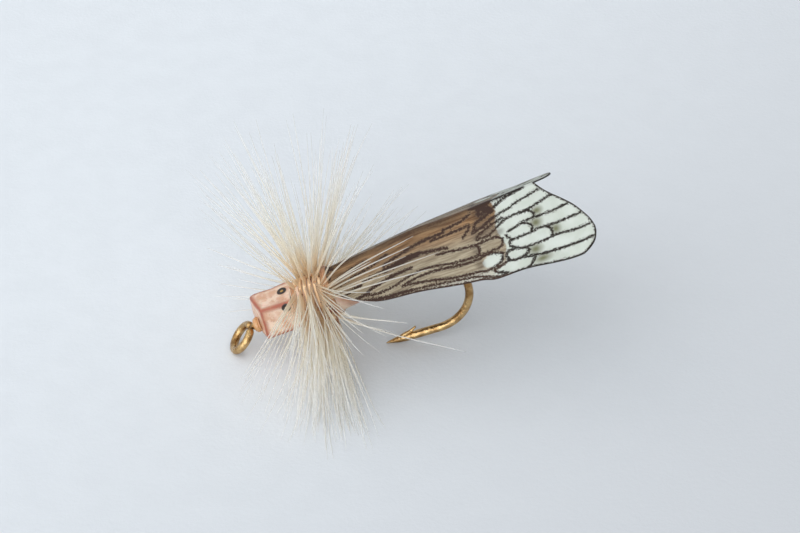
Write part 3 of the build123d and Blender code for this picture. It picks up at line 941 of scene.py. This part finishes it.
# barbs that stray, as (root's angle on the near side, point reached): swept back over the wing and
# past the hook's point, or, from the far side, curled forward beside the head
SWEPT = [(40, (11.4, -1.1, 2.6)), (44, (11.0, -1.5, 2.3)), (50, (10.6, -1.7, 1.9)),
         (55, (12.6, -2.1, 1.6)), (60, (9.6, -2.2, 1.5)), (35, (9.4, -0.8, 3.3)),
         (30, (9.0, -0.3, 4.2)), (48, (8.6, -1.6, 2.4)), (112, (11.6, -4.2, -4.2)),
         (100, (8.6, -3.4, -0.9)), (104, (8.2, -3.7, -1.3)), (96, (9.4, -4.4, -0.6)),
         (64, (11.8, -2.9, 1.3))]
CURLED = [(-80, (-1.0, 4.0, 2.3)), (-90, (-0.6, 4.2, 1.9)), (-95, (-1.3, 3.6, 1.2)),
          (-100, (-1.0, 3.0, 0.3)), (-75, (-1.3, 5.0, 3.0)), (-105, (-1.6, 1.9, 0.4)),
          (-92, (-1.9, 3.2, 0.8)), (-85, (0.0, 3.0, 1.4))]
# each group's place along the shank, and how its barbs bow
STRAYS = [(SWEPT, 5.05, (-0.3, -0.35, 0.35)), (CURLED, 3.6, (0.1, 0.5, -0.8))]
STRAY_THICK = 0.055
STRAY_TIP = 0.011


def make_strays(material):
    steps, sides = 13, 5
    u = np.linspace(0, 1, steps)
    radii = (STRAY_THICK * (1 - u) ** 0.6 + STRAY_TIP) * MM
    pick = random.Random(77)
    parts, along, shade = [], [], []
    for group, x, bow in STRAYS:
        for degrees, goal in group:
            root = round_collar(x, BARB_ROOT_R, math.radians(degrees))
            line = smooth_curve([root, (root + goal) / 2 + bow, goal], steps)
            parts.append(tube_mesh(placed(line), radii, sides))
            along.append(np.repeat(u, sides))
            shade.append(np.full(steps * sides, pick.random()))
    return barb_piece("hackle_strays", parts, along, shade, [], material)


SHORT_STUBS = 34          # all round the quill
NEAR_STUBS = 26           # longer, among the combed barbs


def make_quill(quill, fleck):
    """The feather's stem in its turns, with short reddish stubs of barbs."""
    path = helix((COIL_FROM, COIL_TO), COIL_R, TURN_PITCH, COLLAR_Z, 48)
    wound("hackle_quill", path, STEM_R, quill, "hackle_stem", 12)
    pick = random.Random(5)
    parts = []
    for _ in range(SHORT_STUBS):
        a = pick.uniform(0, 2 * math.pi)
        x = pick.uniform(COIL_FROM + 0.2, COIL_TO + 0.25)
        out = np.array([pick.uniform(-0.3, 0.7), math.sin(a), math.cos(a)])
        root = round_collar(x, 1.5, a, 1)
        bow = np.array([0.2, math.cos(a), -math.sin(a)]) * pick.uniform(-0.4, 0.4)
        length = pick.uniform(0.2, 0.55)
        line = smooth_curve([root, root + out * length * 0.5, root + (out + bow) * length], 5)
        parts.append(tube_mesh(placed(line), np.linspace(0.036, 0.012, 5) * MM, 5))
    for _ in range(NEAR_STUBS):
        a = math.radians(pick.uniform(62, 96))
        root = round_collar(pick.uniform(COIL_FROM + 0.1, COIL_TO + 0.3), 1.55, a)
        out = np.array([pick.uniform(-0.15, 0.3), -1.0, pick.uniform(-0.15, 0.25)])
        length = pick.uniform(0.6, 1.5)
        line = np.linspace(root + out * 0.35 * length, root + out * length, 5)
        parts.append(tube_mesh(placed(line), np.linspace(0.04, 0.02, 5) * MM, 5))
    verts, faces = gathered(parts)
    return piece("quill_flecks", verts, faces, fleck, [])


# ---------------------------------------------------------------- studio

# the camera, fitted to the hook and the wing: distances in millimetres from the shank's front end
VIEW_AZIMUTH = -4.1
VIEW_ELEVATION = 36.5
VIEW_DISTANCE = 196.0
AIM_RIGHT = 8.74
AIM_UP = 3.56
LENS = 150.0

FLOOR_HALF = 1.2
KEY_AT = (-0.17, 0.06, 0.2)
KEY_SIZE = 0.25
KEY_POWER = 0.081
KEY_COLOUR = (1.0, 0.985, 0.96)
# the world's light: unit vectors to the sky, to a dark room and to a low window, each with the range of
# its facing that counts and the strengths at the range's two ends
SKY = ((-0.42, 0.5, 0.757), (-0.5, 0.9, 0.52, 0.64))
ROOM = ((0.78, -0.57, 0.26), (0.75, 0.93, 1.0, 0.1))
WINDOW = ((-0.43, -0.83, 0.355), (0.45, 0.95, 0.0, 1.85))
WORLD_COLOUR = (0.93, 0.965, 1.0, 1.0)


def make_camera():
    data = bpy.data.cameras.new("camera")
    data.lens = LENS
    data.sensor_width = 36.0
    data.clip_start = 0.01
    data.clip_end = 5.0
    camera = bpy.data.objects.new("camera", data)
    bpy.context.scene.collection.objects.link(camera)
    a, e = math.radians(VIEW_AZIMUTH), math.radians(VIEW_ELEVATION)
    back = Vector((math.sin(a) * math.cos(e), -math.cos(a) * math.cos(e), math.sin(e)))
    right = Vector((math.cos(a), math.sin(a), 0))
    up = back.cross(right)
    camera.location = SHANK_FRONT + (back * VIEW_DISTANCE + right * AIM_RIGHT + up * AIM_UP) * MM
    camera.rotation_mode = "QUATERNION"
    camera.rotation_quaternion = back.to_track_quat("Z", "Y")
    bpy.context.scene.camera = camera


def make_floor():
    mesh = bpy.data.meshes.new("floor")
    corners = [(x * FLOOR_HALF, y * FLOOR_HALF, 0) for x, y in ((-1, -1), (1, -1), (1, 1), (-1, 1))]
    mesh.from_pydata(corners, [], [(0, 1, 2, 3)])
    mesh.materials.append(paper_material())
    floor = bpy.data.objects.new("floor", mesh)
    bpy.context.scene.collection.objects.link(floor)


def make_key():
    data = bpy.data.lights.new("key", "AREA")
    data.shape = "DISK"
    data.size = KEY_SIZE
    data.energy = KEY_POWER
    data.color = KEY_COLOUR
    lamp = bpy.data.objects.new("key", data)
    lamp.location = KEY_AT
    lamp.rotation_mode = "QUATERNION"
    lamp.rotation_quaternion = Vector(KEY_AT).to_track_quat("Z", "Y")
    bpy.context.scene.collection.objects.link(lamp)


def make_world():
    """A soft sky that a dark room cuts off on one side, and a low window in front."""
    world = bpy.data.worlds.new("studio")
    world.use_nodes = True
    tree = world.node_tree
    way = tree.nodes.new("ShaderNodeTexCoord").outputs["Generated"]

    def strength(towards, ranges):
        facing = tree.nodes.new("ShaderNodeVectorMath")
        facing.operation = "DOT_PRODUCT"
        tree.links.new(way, facing.inputs[0])
        facing.inputs[1].default_value = towards
        soft = tree.nodes.new("ShaderNodeMapRange")
        soft.interpolation_type = "SMOOTHSTEP"
        for name, value in zip(("From Min", "From Max", "To Min", "To Max"), ranges):
            soft.inputs[name].default_value = value
        tree.links.new(facing.outputs["Value"], soft.inputs["Value"])
        return soft.outputs[0]

    def maths(operation, a, b):
        made = tree.nodes.new("ShaderNodeMath")
        made.operation = operation
        tree.links.new(a, made.inputs[0])
        tree.links.new(b, made.inputs[1])
        return made.outputs[0]

    total = maths("ADD", maths("MULTIPLY", strength(*SKY), strength(*ROOM)), strength(*WINDOW))
    background = tree.nodes["Background"]
    tree.links.new(total, background.inputs["Strength"])
    background.inputs["Color"].default_value = WORLD_COLOUR
    bpy.context.scene.world = world
    bpy.context.scene.view_settings.view_transform = "Standard"


make_camera()
make_floor()
make_key()
make_world()
barbs = barb_material()
make_hook(wire_material())
make_threads(thread_material(), cement_material())
make_underbody(yarn_material())
make_sleeve(printed_film_material("body film", rgb(250, 228, 208), rgb(240, 212, 190),
                                  rgb(196, 146, 120)))
make_head(printed_film_material("head film", rgb(230, 204, 182), rgb(208, 164, 136),
                                rgb(156, 76, 50)))
make_wing(wing_material())
make_quill(quill_material(), fleck_material())
for turn in range(TURNS):
    make_barbs(turn, barbs)
make_strays(barbs)
